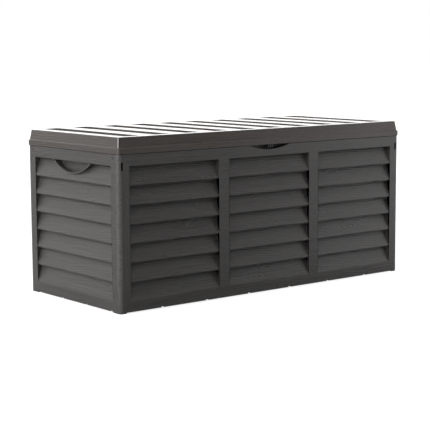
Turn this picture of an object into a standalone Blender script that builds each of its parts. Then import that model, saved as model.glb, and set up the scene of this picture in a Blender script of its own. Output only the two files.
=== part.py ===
"""Deck storage box of moulded plastic panels, with a lid that hinges at the back.

Metres, +Z up. The origin is the centre of the footprint, on the ground. +X runs along the length and
the front faces -Y. Every panel is drawn in its own frame: x across its width, y from its outer face into
the box, z up.
"""

import math

import bmesh
import bpy
from mathutils import Matrix, Vector

MM = 0.001

# Driving sizes
BOX_LENGTH = 1200 * MM
BOX_DEPTH = 520 * MM
BOX_HEIGHT = 535 * MM

LID_HEIGHT = 51 * MM
LID_LIP_HEIGHT = 19 * MM
LID_STEP = 3 * MM
LID_STEP_RISE = 1 * MM
LID_DRAFT = 4.5 * MM
LID_OVERHANG = 1.5 * MM
REAR_SLOPE = 2 * MM  # cut off the rear panel's top edge, so that the lid's rear lip swings past it
LID_WALL = 3.5 * MM
LIP_WALL = 4 * MM
LID_CORNER_RADIUS = 8 * MM
LID_TOP_ROUND = 2 * MM

STRIP_COUNT = 10
STRIP_WIDTH = 59.5 * MM
STRIP_DEPTH = 7 * MM
STRIP_END_BORDER = 38.5 * MM
STRIP_FRONT_BORDER = 28 * MM
STRIP_REAR_BORDER = 8 * MM
STRIP_FRONT_RAMP = 14 * MM
STRIP_REAR_RAMP = 3 * MM
CHANNEL_REAR_BORDER = 14 * MM

PANEL_WALL = 3.5 * MM
PANEL_THICKNESS = 24 * MM
CORNER_RADIUS = 10 * MM
CORNER_LAND = 5.2 * MM  # flat left on the end of a long panel, past its rounded corner
CORNER_WALL = 7 * MM
STILE_WALL = 5 * MM
BOTTOM_LIFT = 2.5 * MM
FOOT_LENGTH = 24 * MM
LEDGE_HEIGHT = 9.4 * MM  # top of the ledge inside the bottom rail, which the floor's tabs sit on
NOTCH_WIDTH = 12 * MM
NOTCH_HEIGHT = 3 * MM
LONG_NOTCHES = 6
LONG_NOTCH_INSET = 160.25 * MM
SIDE_NOTCHES = 4
SIDE_NOTCH_INSET = 36 * MM

LONG_WINDOWS = 3
LONG_STILE = 40 * MM
MULLION = 42 * MM
SIDE_STILE = 26 * MM
SLAT_COUNT = 7
TOP_RAIL = 36 * MM
BOTTOM_RAIL = 37.5 * MM
SLAT_SETBACK = 0.8 * MM

RIM_WALL = 3.5 * MM
RIM_HEAD_ROOM = 12 * MM
RIM_SEAT_MARGIN = 0.4 * MM

HANDLE_WIDTH = 204 * MM
HANDLE_DROP = 35 * MM
HANDLE_RIM = 7 * MM
HANDLE_REACH = 16 * MM
HANDLE_LIP = 5 * MM
POCKET_PROUD = 0.5 * MM  # how far the back of the hand pocket stands behind the panel

LATCH_WIDTH = 169 * MM
LATCH_DROP = 15 * MM
LATCH_DEPTH = 22 * MM

HASP_CENTRE = 4 * MM
HASP_THICKNESS = 5 * MM
HASP_REACH = 15 * MM
HASP_CHAMFER = 3 * MM
HASP_PLATE = 2.5 * MM
HASP_PLATE_WIDTH = 24 * MM
HASP_PLATE_RISE = 2 * MM
HASP_PLATE_DROP = 5 * MM
HASP_TIP_ROOM = 3 * MM
HASP_HOLE_BACK = 7.5 * MM
HASP_HOLE_RISE = 7 * MM
PADLOCK_HOLE_RADIUS = 3.5 * MM
KEEPER_WIDTH = 28 * MM
KEEPER_HEIGHT = 24 * MM
KEEPER_PLATE = 2.5 * MM
KEEPER_RISE = 4 * MM
KEEPER_ROOM = 4 * MM  # from the lock tongue to the lug on each side of it
LUG_THICKNESS = 3 * MM
LUG_FRONT = 7 * MM

LOCK_SLOT_INSET = 13.5 * MM
LOCK_SLOT_WIDTH = 8.5 * MM
LOCK_SLOT_HEIGHT = 24 * MM
LOCK_SLOT_DROP = 36 * MM
LOCK_SLOT_DEPTH = 7 * MM

FLOOR_WALL = 4 * MM
FLOOR_CELLS_ALONG = 6
FLOOR_CELLS_ACROSS = 4
FLOOR_TAB_LENGTH = 50 * MM
FLOOR_TAB_REACH = 8 * MM
FLOOR_TAB_INSET = 120 * MM
FLOOR_TABS = 2

HINGE_SPACING = 380 * MM
HINGE_LENGTH = 60 * MM
HINGE_DROP = 5 * MM
KNUCKLE_RADIUS = 5.5 * MM
PIN_RADIUS = 2.4 * MM
PIN_CLEARANCE = 0.1 * MM
LEAF_THICKNESS = 2.7 * MM
BODY_LEAF_HEIGHT = 23 * MM
LID_LEAF_HEIGHT = 23 * MM
LID_SCREW_DROP = 5.75 * MM
PAD_PLAY = 1.2 * MM  # from the lid's hinge pads to the rim inside them

SCREW_HEAD_RADIUS = 3.6 * MM
SCREW_HEAD_HEIGHT = 1.8 * MM
SCREW_SHANK_RADIUS = 1.5 * MM
SCREW_TIP = 2 * MM
SCREW_LENGTH = 8 * MM
SCREW_SPACING = 40 * MM
CORNER_SCREW_LENGTH = 29 * MM
CORNER_SCREW_DROP = 13.5 * MM
CORNER_SCREW_INSET = 15 * MM
CORNER_SCREW_SEAT = 2 * MM
EAR_LENGTH = 22 * MM
EAR_THICKNESS = 4 * MM

GAP = 0.3 * MM
PAST = 1 * MM  # how far a cutter runs past the face it opens

# Facets
CORNER_STEPS = 6
ROUND_STEPS = 2
ARC_STEPS = 16
LID_CORNER_STEPS = 5
HOLE_SIDES = 12
SCREW_SIDES = 16
HEAD_STEPS = 3
PADLOCK_HOLE_SIDES = 16
KNUCKLE_SIDES = 24
PIN_SIDES = 32
SMOOTH_ANGLE = math.radians(35)

# Sizes that follow from them
LID_BOTTOM = BOX_HEIGHT - LID_HEIGHT
LIP_TOP = LID_BOTTOM + LID_LIP_HEIGHT
LID_TAPER = LID_STEP + LID_DRAFT
STRIP_FLOOR = BOX_HEIGHT - STRIP_DEPTH
LID_FLOOR = STRIP_FLOOR - LID_WALL
STRIP_PITCH = (BOX_LENGTH - 2 * (LID_TAPER + STRIP_END_BORDER) - STRIP_WIDTH) / (STRIP_COUNT - 1)
BODY_LENGTH = BOX_LENGTH - 2 * LID_OVERHANG
BODY_DEPTH = BOX_DEPTH - 2 * LID_OVERHANG
BODY_TOP = LID_BOTTOM - 2 * GAP
LOUVRE_TOP = BODY_TOP - TOP_RAIL
LOUVRE_BOTTOM = BOTTOM_RAIL
SLAT_DEPTH = PANEL_THICKNESS - PANEL_WALL - GAP
POCKET_DEPTH = PANEL_THICKNESS - PANEL_WALL + POCKET_PROUD
LOCK_SLOT_TOP = BODY_TOP - LOCK_SLOT_DROP + LOCK_SLOT_HEIGHT / 2
INNER_HALF_LENGTH = BODY_LENGTH / 2 - PANEL_THICKNESS
INNER_HALF_DEPTH = BODY_DEPTH / 2 - PANEL_THICKNESS
FLOOR_HEIGHT = LEDGE_HEIGHT + GAP + FLOOR_WALL
HINGE_Y = BOX_DEPTH / 2 - KNUCKLE_RADIUS
HINGE_Z = LID_BOTTOM - HINGE_DROP
KNUCKLE_SEAT = BODY_DEPTH / 2 - HINGE_Y + KNUCKLE_RADIUS + 2 * GAP
RIM_STEP = KNUCKLE_SEAT + RIM_SEAT_MARGIN
CORNER_WRAP = max(CORNER_RADIUS + CORNER_LAND, RIM_STEP + RIM_WALL)
SIDE_WIDTH = BODY_DEPTH - 2 * (CORNER_WRAP + GAP)
RIM_TOP = LID_FLOOR - RIM_HEAD_ROOM - 2 * GAP
BODY_LEAF_TOP = HINGE_Z - KNUCKLE_RADIUS - GAP
LID_LEAF_BOTTOM = HINGE_Z + KNUCKLE_RADIUS + 2 * GAP
LID_LEAF_TOP = LID_LEAF_BOTTOM + LID_LEAF_HEIGHT
LEAF_HALF = HINGE_LENGTH / 2 + 2 * GAP
SCREW_HEAD_ROOM = SCREW_HEAD_HEIGHT + 2 * GAP
LEAF_FACE = BOX_DEPTH / 2 - SCREW_HEAD_ROOM
LEAF_SEAT = BODY_DEPTH / 2 - LEAF_FACE + LEAF_THICKNESS + GAP
SCREW_HOLE_RADIUS = SCREW_SHANK_RADIUS + GAP
HINGE_PLACES = {"left": -HINGE_SPACING, "middle": 0.0, "right": HINGE_SPACING}


def material(name, colour, roughness, metallic=0.0):
    made = bpy.data.materials.new(name)
    made.use_nodes = True
    shader = made.node_tree.nodes["Principled BSDF"]
    shader.inputs["Base Color"].default_value = (*colour, 1.0)
    shader.inputs["Roughness"].default_value = roughness
    shader.inputs["Metallic"].default_value = metallic
    made.diffuse_color = (*colour, 1.0)
    return made


def add_box(mesh, low, high):
    """Adds a closed box between two corners."""
    size = Vector(high) - Vector(low)
    centre = (Vector(high) + Vector(low)) / 2
    place = Matrix.Translation(centre) @ Matrix.Diagonal((*size, 1.0))
    bmesh.ops.create_cube(mesh, size=1.0, matrix=place)


def add_prism(mesh, outline, across, start, end):
    """Adds an outline drawn in the two axes other than `across`, extruded from start to end along it."""
    axes = [axis for axis in range(3) if axis != across]
    ends = []
    for place in (start, end):
        ring = []
        for first, second in outline:
            point = [0.0, 0.0, 0.0]
            point[axes[0]] = first
            point[axes[1]] = second
            point[across] = place
            ring.append(mesh.verts.new(point))
        ends.append(ring)
    faces = [mesh.faces.new(ends[0]), mesh.faces.new(ends[1])]
    count = len(outline)
    for index in range(count):
        after = (index + 1) % count
        faces.append(mesh.faces.new((ends[0][index], ends[0][after], ends[1][after], ends[1][index])))
    bmesh.ops.recalc_face_normals(mesh, faces=faces)


def circle(centre, radius, sides):
    steps = [2 * math.pi * (index + 0.5) / sides for index in range(sides)]
    return [(centre[0] + radius * math.cos(turn), centre[1] + radius * math.sin(turn)) for turn in steps]


def smile(width, drop, top, grow=0.0):
    """A segment of a circle, closed by a straight top edge. `grow` widens it all along the arc."""
    radius = (width**2 / 4 + drop**2) / (2 * drop)
    centre = top - drop + radius
    outer = radius + grow
    half = math.acos((centre - top) / outer)
    turns = [half * (1 - 2 * index / ARC_STEPS) for index in range(ARC_STEPS + 1)]
    return [(outer * math.sin(turn), centre - outer * math.cos(turn)) for turn in turns]


def rounded_rectangle(half_x, half_y, radius):
    points = []
    for quarter, (sign_x, sign_y) in enumerate(((1, 1), (-1, 1), (-1, -1), (1, -1))):
        for step in range(LID_CORNER_STEPS + 1):
            turn = math.pi / 2 * (quarter + step / LID_CORNER_STEPS)
            x = sign_x * (half_x - radius) + radius * math.cos(turn)
            y = sign_y * (half_y - radius) + radius * math.sin(turn)
            points.append((x, y))
    return points


def make(name, mesh, finish=None, place=None, smooth=False):
    """Turns a mesh under construction into an object at `place`, a matrix."""
    bmesh.ops.recalc_face_normals(mesh, faces=mesh.faces[:])
    data = bpy.data.meshes.new(name)
    mesh.to_mesh(data)
    mesh.free()
    made = bpy.data.objects.new(name, data)
    bpy.context.scene.collection.objects.link(made)
    made.matrix_world = place or Matrix()
    if finish:
        data.materials.append(finish)
    if smooth:
        data.shade_smooth()
        data.set_sharp_from_angle(angle=SMOOTH_ANGLE)
    return made


def combine(target, mesh, operation, label):
    """Applies a helper solid, drawn in the target's frame, as a Boolean that stays on the target."""
    helper = make(f"{target.name}_{label}", mesh)
    helper.parent = target
    helper.hide_render = True
    helper.display_type = "WIRE"
    boolean = target.modifiers.new(label, "BOOLEAN")
    boolean.operation = operation
    boolean.solver = "EXACT"
    boolean.object = helper


def spans(width, stile, divider, count):
    """Left and right edges of equal windows between two stiles and the dividers."""
    window = (width - 2 * stile - (count - 1) * divider) / count
    lefts = [-width / 2 + stile + index * (window + divider) for index in range(count)]
    return [(left, left + window) for left in lefts]


def spread(width, inset, count):
    """Centres of a row of like features, evenly spaced, with the outer ones `inset` from the ends."""
    reach = width / 2 - inset
    return [reach * (2 * index / (count - 1) - 1) for index in range(count)]


def louvre_outline(outer):
    """The stepped profile of the slats: cut from outside if `outer`, else from inside, one wall deeper."""
    depth = 0.0 if outer else PANEL_WALL
    pitch = (LOUVRE_TOP - LOUVRE_BOTTOM) / SLAT_COUNT
    away = -PAST if outer else PANEL_THICKNESS + PAST
    shift = 0.0 if outer else PANEL_WALL
    points = [(away, LOUVRE_TOP - shift)]
    for index in range(SLAT_COUNT):
        top = LOUVRE_TOP - index * pitch - shift
        points.append((SLAT_DEPTH + depth - SLAT_SETBACK, top))
        points.append((SLAT_SETBACK + depth, top - pitch))
    points[-1] = (SLAT_SETBACK + depth, LOUVRE_BOTTOM)
    points.append((away, LOUVRE_BOTTOM))
    return points


def hollow_panel(name, outline, windows, finish, place, side_cavities):
    """A panel with louvred windows and open-backed rails, on a plan outline."""
    mesh = bmesh.new()
    add_prism(mesh, outline, 2, 0.0, BODY_TOP)
    panel = make(name, mesh, finish, place)

    cuts = bmesh.new()
    back = PANEL_THICKNESS + PAST
    for left, right in windows:
        add_prism(cuts, louvre_outline(True), 0, left, right)
        add_prism(cuts, louvre_outline(False), 0, left, right)
    combine(panel, cuts, "DIFFERENCE", "louvres")

    cavities = bmesh.new()
    for left, right in side_cavities:
        low = (left, STILE_WALL, LEDGE_HEIGHT)
        add_box(cavities, low, (right, back, BODY_TOP - 2 * PANEL_WALL))
    for (_, left), (right, _) in zip(windows, windows[1:]):
        edges = (left + PANEL_WALL, right - PANEL_WALL)
        add_box(cavities, (edges[0], PANEL_WALL, BOTTOM_RAIL), (edges[1], back, LOUVRE_TOP))
    ends = (windows[0][0], windows[-1][1])
    low = (ends[0], PANEL_WALL, LEDGE_HEIGHT)
    add_box(cavities, low, (ends[1], back, BOTTOM_RAIL - PANEL_WALL))
    combine(panel, cavities, "DIFFERENCE", "cavities")
    return panel


def rail_cavity(panel, ranges):
    """Opens the back of the top rail over the given stretches, each (left, right, bottom, top)."""
    cuts = bmesh.new()
    for left, right, bottom, top in ranges:
        add_box(cuts, (left, PANEL_WALL, bottom), (right, PANEL_THICKNESS + PAST, top))
    combine(panel, cuts, "DIFFERENCE", "rail")


def bottom_cuts(panel, width, places):
    """Lifts the bottom edge between the corner feet and notches it."""
    half = width / 2 - FOOT_LENGTH
    lift = bmesh.new()
    add_box(lift, (-half, -PAST, -PAST), (half, PANEL_THICKNESS + PAST, BOTTOM_LIFT))
    combine(panel, lift, "DIFFERENCE", "lift")
    notches = bmesh.new()
    for centre in places:
        edge = NOTCH_WIDTH / 2
        high = BOTTOM_LIFT + NOTCH_HEIGHT
        add_box(notches, (centre - edge, -PAST, 0.0), (centre + edge, PANEL_THICKNESS + PAST, high))
    combine(panel, notches, "DIFFERENCE", "notches")


def rim(panel, stretches):
    """Adds the upright rim that stands up inside the lid."""
    for index, (left, right) in enumerate(stretches):
        mesh = bmesh.new()
        low = (left, RIM_STEP, BODY_TOP - PANEL_WALL / 2)
        add_box(mesh, low, (right, RIM_STEP + RIM_WALL, RIM_TOP))
        combine(panel, mesh, "UNION", f"rim_{index}")


def long_panel(name, finish, turn):
    """The front or rear panel, with rounded ends that wrap round the corners of the box."""
    half = BODY_LENGTH / 2
    place = Matrix.Rotation(turn, 4, "Z") @ Matrix.Translation((0, -BODY_DEPTH / 2, 0))
    inner = half - PANEL_THICKNESS - GAP
    corner = []
    for step in range(CORNER_STEPS + 1):
        angle = math.pi / 2 * step / CORNER_STEPS
        x = half - CORNER_RADIUS + CORNER_RADIUS * math.sin(angle)
        corner.append((x, CORNER_RADIUS - CORNER_RADIUS * math.cos(angle)))
    right = corner + [(half, CORNER_WRAP), (inner, CORNER_WRAP), (inner, PANEL_THICKNESS)]
    outline = right + [(-x, y) for x, y in reversed(right)]
    windows = spans(BODY_LENGTH, LONG_STILE, MULLION, LONG_WINDOWS)
    stile = (half - LONG_STILE + PANEL_WALL, half - CORNER_WALL)
    panel = hollow_panel(name, outline, windows, finish, place, [stile, (-stile[1], -stile[0])])
    bottom_cuts(panel, BODY_LENGTH, spread(BODY_LENGTH, LONG_NOTCH_INSET, LONG_NOTCHES))

    slots = bmesh.new()
    for side in (-1, 1):
        centre = side * (half - LOCK_SLOT_INSET)
        edge = LOCK_SLOT_WIDTH / 2
        low = (centre - edge, -PAST, LOCK_SLOT_TOP - LOCK_SLOT_HEIGHT)
        add_box(slots, low, (centre + edge, LOCK_SLOT_DEPTH, LOCK_SLOT_TOP))
    combine(panel, slots, "DIFFERENCE", "lock_slots")

    ears = bmesh.new()
    for side in (-1, 1):
        near = side * (inner - EAR_THICKNESS)
        far = side * inner
        bottom = LOUVRE_TOP + PANEL_WALL
        low = (min(near, far), PANEL_THICKNESS - PANEL_WALL, bottom)
        high = (max(near, far), PANEL_THICKNESS + EAR_LENGTH, BODY_TOP - GAP)
        add_box(ears, low, high)
    combine(panel, ears, "UNION", "ears")
    holes = bmesh.new()
    centre = (CORNER_WRAP + GAP + CORNER_SCREW_INSET, BODY_TOP - CORNER_SCREW_DROP)
    for side in (-1, 1):
        reach = sorted((side * (inner - EAR_THICKNESS - PAST), side * (inner + GAP)))
        add_prism(holes, circle(centre, SCREW_HOLE_RADIUS, HOLE_SIDES), 0, *reach)
    combine(panel, holes, "DIFFERENCE", "ear_holes")
    return panel


def front_panel(finish):
    panel = long_panel("front_panel", finish, 0.0)
    edge = LATCH_WIDTH / 2 + PANEL_WALL
    ends = BODY_LENGTH / 2 - LONG_STILE
    low = LOUVRE_TOP + PANEL_WALL
    top = BODY_TOP - PANEL_WALL
    under = BODY_TOP - LATCH_DROP - PANEL_WALL
    inside = edge - PANEL_WALL
    rail_cavity(panel, [(-ends, -edge, low, top), (edge, ends, low, top), (-inside, inside, low, under)])
    outer = BODY_LENGTH / 2 - RIM_STEP
    rim(panel, [(-outer, -edge + PAST), (edge - PAST, outer)])

    shell = bmesh.new()
    back = LATCH_DEPTH + PANEL_WALL
    add_box(shell, (-edge, RIM_STEP, under + PAST), (edge, back, RIM_TOP))
    combine(panel, shell, "UNION", "latch_shell")
    recess = bmesh.new()
    add_prism(recess, smile(LATCH_WIDTH, LATCH_DROP, BODY_TOP), 1, -PAST, LATCH_DEPTH)
    combine(panel, recess, "DIFFERENCE", "latch_recess")
    upper = bmesh.new()
    half = LATCH_WIDTH / 2
    add_box(upper, (-half, -PAST, BODY_TOP - GAP), (half, LATCH_DEPTH, RIM_TOP + PAST))
    combine(panel, upper, "DIFFERENCE", "latch_upper")
    return panel


def rear_panel(finish):
    panel = long_panel("rear_panel", finish, math.pi)
    ends = BODY_LENGTH / 2 - LONG_STILE
    low = LOUVRE_TOP + PANEL_WALL
    boss = HINGE_LENGTH / 2 + 2 * PANEL_WALL
    centres = sorted(HINGE_PLACES.values())
    edges = [-ends] + [centre + side * boss for centre in centres for side in (-1, 1)] + [ends]
    top = BODY_TOP - PANEL_WALL
    rail_cavity(panel, [(left, right, low, top) for left, right in zip(edges[::2], edges[1::2])])
    outer = BODY_LENGTH / 2 - RIM_STEP
    rim(panel, [(-outer, outer)])

    seats = bmesh.new()
    leaves = bmesh.new()
    holes = bmesh.new()
    for centre in centres:
        low = (centre - LEAF_HALF, -PAST, BODY_LEAF_TOP)
        add_box(seats, low, (centre + LEAF_HALF, KNUCKLE_SEAT, BODY_TOP + KNUCKLE_RADIUS))
        low = (centre - LEAF_HALF, -PAST, BODY_LEAF_TOP - BODY_LEAF_HEIGHT - GAP)
        add_box(leaves, low, (centre + LEAF_HALF, LEAF_SEAT, BODY_LEAF_TOP + PAST))
        for side in (-1, 1):
            at = (centre + side * SCREW_SPACING / 2, BODY_LEAF_TOP - BODY_LEAF_HEIGHT / 2)
            outline = circle(at, SCREW_HOLE_RADIUS, HOLE_SIDES)
            add_prism(holes, outline, 1, LEAF_SEAT - PAST, LEAF_SEAT + SCREW_LENGTH)
    combine(panel, seats, "DIFFERENCE", "knuckle_seats")
    combine(panel, leaves, "DIFFERENCE", "leaf_seats")
    combine(panel, holes, "DIFFERENCE", "screw_holes")

    slope = bmesh.new()
    outline = [
        (-PAST, BODY_TOP - REAR_SLOPE - PAST),
        (REAR_SLOPE + PAST, BODY_TOP + PAST),
        (-PAST, BODY_TOP + PAST),
    ]
    add_prism(slope, outline, 0, -BODY_LENGTH / 2 - PAST, BODY_LENGTH / 2 + PAST)
    combine(panel, slope, "DIFFERENCE", "rear_slope")
    return panel


def side_panel(name, finish, side):
    """A side panel with its carrying handle. side is -1 at -X and 1 at +X."""
    half = SIDE_WIDTH / 2
    turn = Matrix.Rotation(side * math.pi / 2, 4, "Z")
    place = Matrix.Translation((side * BODY_LENGTH / 2, 0, 0)) @ turn
    outline = [(-half, 0.0), (half, 0.0), (half, PANEL_THICKNESS), (-half, PANEL_THICKNESS)]
    windows = spans(SIDE_WIDTH, SIDE_STILE, 0.0, 1)
    panel = hollow_panel(name, outline, windows, finish, place, [])
    ends = windows[0][1]
    low = LOUVRE_TOP + PANEL_WALL
    top = BODY_TOP - PANEL_WALL
    handle = HANDLE_WIDTH / 2 + HANDLE_RIM
    inside = handle - PANEL_WALL
    above = LOUVRE_TOP + HANDLE_REACH + PANEL_WALL
    rail_cavity(panel, [(-ends, -handle, low, top), (handle, ends, low, top), (-inside, inside, above, top)])
    bottom_cuts(panel, SIDE_WIDTH, spread(SIDE_WIDTH, SIDE_NOTCH_INSET, SIDE_NOTCHES))
    rim(panel, [(-half, half)])

    shell = bmesh.new()
    outer = smile(HANDLE_WIDTH, HANDLE_DROP, LOUVRE_TOP + PANEL_WALL, HANDLE_RIM)
    add_prism(shell, outer, 1, SLAT_SETBACK, POCKET_DEPTH + PANEL_WALL)
    combine(panel, shell, "UNION", "handle_shell")
    pocket = bmesh.new()
    add_prism(pocket, smile(HANDLE_WIDTH, HANDLE_DROP, LOUVRE_TOP), 1, -PAST, POCKET_DEPTH)
    combine(panel, pocket, "DIFFERENCE", "handle_pocket")
    reach = bmesh.new()
    half_reach = HANDLE_WIDTH / 2 - 2 * HANDLE_RIM
    low = (-half_reach, HANDLE_LIP, LOUVRE_TOP - PAST)
    add_box(reach, low, (half_reach, POCKET_DEPTH, LOUVRE_TOP + HANDLE_REACH))
    combine(panel, reach, "DIFFERENCE", "handle_reach")

    for index, end in enumerate((-1, 1)):
        tongue = bmesh.new()
        across = sorted((end * (half - PAST), end * (half + CORNER_WRAP / 2)))
        low = (across[0], LOCK_SLOT_INSET - LOCK_SLOT_WIDTH / 2 + GAP, LOCK_SLOT_TOP - LOCK_SLOT_HEIGHT)
        high = (across[1], LOCK_SLOT_INSET + LOCK_SLOT_WIDTH / 2 - GAP, LOCK_SLOT_TOP)
        add_box(tongue, low, high)
        combine(panel, tongue, "UNION", f"tongue_{index}")
    holes = bmesh.new()
    seats = bmesh.new()
    for end in (-1, 1):
        at = (end * (half - CORNER_SCREW_INSET), BODY_TOP - CORNER_SCREW_DROP)
        outline = circle(at, SCREW_HOLE_RADIUS, HOLE_SIDES)
        add_prism(holes, outline, 1, -PAST, PANEL_THICKNESS + PAST)
        seat = circle(at, SCREW_HEAD_RADIUS + GAP, SCREW_SIDES)
        add_prism(seats, seat, 1, -PAST, CORNER_SCREW_SEAT)
    combine(panel, holes, "DIFFERENCE", "screw_holes")
    combine(panel, seats, "DIFFERENCE", "screw_seats")
    return panel


def floor_half(name, finish, side):
    """One half of the floor: a deck, ribbed below, with tabs that sit in the wall panels' bottom rails."""
    edge = side * (INNER_HALF_LENGTH - 2 * GAP)
    left, right = sorted((edge, side * GAP))
    depth = INNER_HALF_DEPTH - 2 * GAP
    mesh = bmesh.new()
    add_box(mesh, (left, -depth, 0.0), (right, depth, FLOOR_HEIGHT))
    half = make(name, mesh, finish)

    tabs = bmesh.new()
    under_tab = FLOOR_HEIGHT - FLOOR_WALL
    for along in spread(right - left, FLOOR_TAB_INSET, FLOOR_TABS):
        centre = (left + right) / 2 + along
        for end in (-1, 1):
            reach = sorted((end * (depth - FLOOR_WALL), end * (depth + FLOOR_TAB_REACH)))
            low = (centre - FLOOR_TAB_LENGTH / 2, reach[0], under_tab)
            add_box(tabs, low, (centre + FLOOR_TAB_LENGTH / 2, reach[1], FLOOR_HEIGHT - GAP))
    for centre in spread(2 * depth, FLOOR_TAB_INSET, FLOOR_TABS):
        reach = sorted((edge - side * FLOOR_WALL, edge + side * FLOOR_TAB_REACH))
        low = (reach[0], centre - FLOOR_TAB_LENGTH / 2, under_tab)
        add_box(tabs, low, (reach[1], centre + FLOOR_TAB_LENGTH / 2, FLOOR_HEIGHT - GAP))
    combine(half, tabs, "UNION", "tabs")

    cells = bmesh.new()
    along = (right - left - FLOOR_WALL) / FLOOR_CELLS_ALONG
    across = (2 * depth - FLOOR_WALL) / FLOOR_CELLS_ACROSS
    for column in range(FLOOR_CELLS_ALONG):
        for row in range(FLOOR_CELLS_ACROSS):
            x = left + FLOOR_WALL + column * along
            y = -depth + FLOOR_WALL + row * across
            end = (x + along - FLOOR_WALL, y + across - FLOOR_WALL, under_tab)
            add_box(cells, (x, y, -PAST), end)
    combine(half, cells, "DIFFERENCE", "cells")
    return half


def rings_to_shell(outer, inner):
    """A closed shell lofted from outer rings going up and inner rings going up, joined at the bottom."""
    mesh = bmesh.new()

    def loft(rings):
        made = [[mesh.verts.new((x, y, z)) for x, y in ring] for ring, z in rings]
        for below, above in zip(made, made[1:]):
            count = len(below)
            for index in range(count):
                after = (index + 1) % count
                mesh.faces.new((below[index], below[after], above[after], above[index]))
        mesh.faces.new(made[-1])
        return made[0]

    outside = loft(outer)
    inside = loft(inner)
    count = len(outside)
    for index in range(count):
        after = (index + 1) % count
        mesh.faces.new((outside[index], outside[after], inside[after], inside[index]))
    return mesh


def lid(finish):
    """The lid: a double-stepped skirt under a top of alternating strips, open below."""
    half_x = BOX_LENGTH / 2
    half_y = BOX_DEPTH / 2

    def ring(inset, round_off=0.0):
        return rounded_rectangle(half_x - inset, half_y - inset, max(LID_CORNER_RADIUS - round_off, GAP))

    outer = [(ring(0), LID_BOTTOM), (ring(0), LIP_TOP - LID_STEP_RISE), (ring(LID_STEP), LIP_TOP)]
    for step in range(ROUND_STEPS + 1):
        turn = math.pi / 2 * step / ROUND_STEPS
        inset = LID_TAPER + LID_TOP_ROUND * (1 - math.cos(turn))
        outer.append((ring(inset), BOX_HEIGHT - LID_TOP_ROUND * (1 - math.sin(turn))))
    inner = [
        (ring(LIP_WALL, LIP_WALL), LID_BOTTOM),
        (ring(LIP_WALL, LIP_WALL), LIP_TOP - LID_WALL),
        (ring(LID_STEP + LID_WALL, LID_WALL), LIP_TOP),
        (ring(LID_TAPER + LID_WALL, LID_WALL), LID_FLOOR),
    ]
    shell = make("lid", rings_to_shell(outer, inner), finish)

    front = LID_TAPER + STRIP_FRONT_BORDER - half_y
    rear = half_y - LID_TAPER - STRIP_REAR_BORDER
    rise = PAST / STRIP_DEPTH
    profile = [
        (front - STRIP_FRONT_RAMP * rise, BOX_HEIGHT + PAST),
        (front + STRIP_FRONT_RAMP, STRIP_FLOOR),
        (rear - STRIP_REAR_RAMP, STRIP_FLOOR),
        (rear + STRIP_REAR_RAMP * rise, BOX_HEIGHT + PAST),
    ]
    row = STRIP_PITCH * (STRIP_COUNT - 1)
    strips = bmesh.new()
    for centre in spread(row, 0.0, STRIP_COUNT):
        add_prism(strips, profile, 0, centre - STRIP_WIDTH / 2, centre + STRIP_WIDTH / 2)
    combine(shell, strips, "DIFFERENCE", "strips")
    channels = bmesh.new()
    for centre in spread(row, STRIP_PITCH / 2, STRIP_COUNT - 1):
        edge = (STRIP_PITCH - STRIP_WIDTH) / 2 - LID_WALL
        low = (centre - edge, front + STRIP_FRONT_RAMP, LID_FLOOR - PAST)
        add_box(channels, low, (centre + edge, rear - CHANNEL_REAR_BORDER, BOX_HEIGHT - LID_WALL))
    combine(shell, channels, "DIFFERENCE", "channels")

    pad_back = BODY_DEPTH / 2 - RIM_STEP + PAD_PLAY
    pad_face = LEAF_FACE - LEAF_THICKNESS - GAP
    pad_half = HINGE_LENGTH / 2 + LID_WALL
    for name, centre in HINGE_PLACES.items():
        pad = bmesh.new()
        low = (centre - pad_half, pad_back, LID_LEAF_TOP - LID_LEAF_HEIGHT / 2)
        add_box(pad, low, (centre + pad_half, pad_face, LID_LEAF_TOP + LID_WALL))
        combine(shell, pad, "UNION", f"pad_{name}")
    seats = bmesh.new()
    holes = bmesh.new()
    reliefs = bmesh.new()
    for centre in HINGE_PLACES.values():
        high = (centre + LEAF_HALF, half_y + PAST, LID_LEAF_TOP + GAP)
        add_box(seats, (centre - LEAF_HALF, pad_face, LID_BOTTOM - PAST), high)
        for side in (-1, 1):
            at = (centre + side * SCREW_SPACING / 2, LID_LEAF_TOP - LID_SCREW_DROP)
            outline = circle(at, SCREW_HOLE_RADIUS, HOLE_SIDES)
            add_prism(holes, outline, 1, pad_face - SCREW_LENGTH - PAST, pad_face + PAST)
        low = (centre - LEAF_HALF, half_y - 2 * LIP_WALL, LID_BOTTOM - PAST)
        add_box(reliefs, low, (centre + LEAF_HALF, half_y + PAST, HINGE_Z + KNUCKLE_RADIUS + 2 * GAP))
    combine(shell, seats, "DIFFERENCE", "leaf_seats")
    combine(shell, holes, "DIFFERENCE", "screw_holes")
    combine(shell, reliefs, "DIFFERENCE", "knuckle_reliefs")
    return shell


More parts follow.
